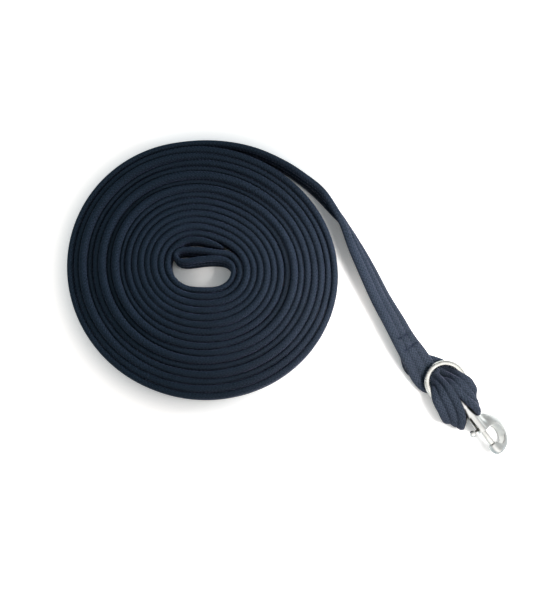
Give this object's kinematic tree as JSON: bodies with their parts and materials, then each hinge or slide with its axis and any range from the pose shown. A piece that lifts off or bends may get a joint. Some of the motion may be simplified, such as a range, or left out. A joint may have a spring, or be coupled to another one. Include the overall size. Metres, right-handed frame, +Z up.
{
  "type": "lead rope",
  "caption": "Flat padded web lead rope rolled on edge into a spiral, with a sewn hand loop at its middle and a swivel bolt snap hitched to its free end.",
  "frame": {"origin": "centre of the bounding box's footprint, on the surface the rolled web lies on", "axes": "+X runs from the rolled web towards the snap's end, +Z is up from the surface, square to the roll's flat face"},
  "size_m": [0.376, 0.2692, 0.0267],
  "materials": {
    "navy_web": "close woven matt with a slight sheen",
    "navy_thread": "matt sewing thread",
    "nickel_plate": "satin nickel plate",
    "spring_steel": "bare drawn wire"
  },
  "bodies": {
    "web": {"web_coil": "navy_web", "web_tail": "navy_web", "snap_loop": "navy_web", "hand_loop_tack": "navy_thread", "snap_loop_tack_front": "navy_thread", "snap_loop_tack_rear": "navy_thread", "swivel_eye": "nickel_plate"},
    "snap": {"snap_body": "nickel_plate", "bolt_spring": "spring_steel"},
    "bolt": {"bolt": "nickel_plate", "thumb_knob": "nickel_plate"}
  },
  "joints": [
    {"name": "swivel", "type": "hinge", "parent": "web", "child": "snap", "pos_m": [0.13458, -0.07302, 0.015], "axis": [0.592, -0.806, 0], "continuous": true},
    {"name": "bolt_draw", "type": "slide", "parent": "snap", "child": "bolt", "axis": [-0.592, 0.806, 0], "range_m": [0, 0.01], "stiffness_N_per_m": 350, "springref_m": -0.006, "deforming": ["bolt_spring"]}
  ]
}
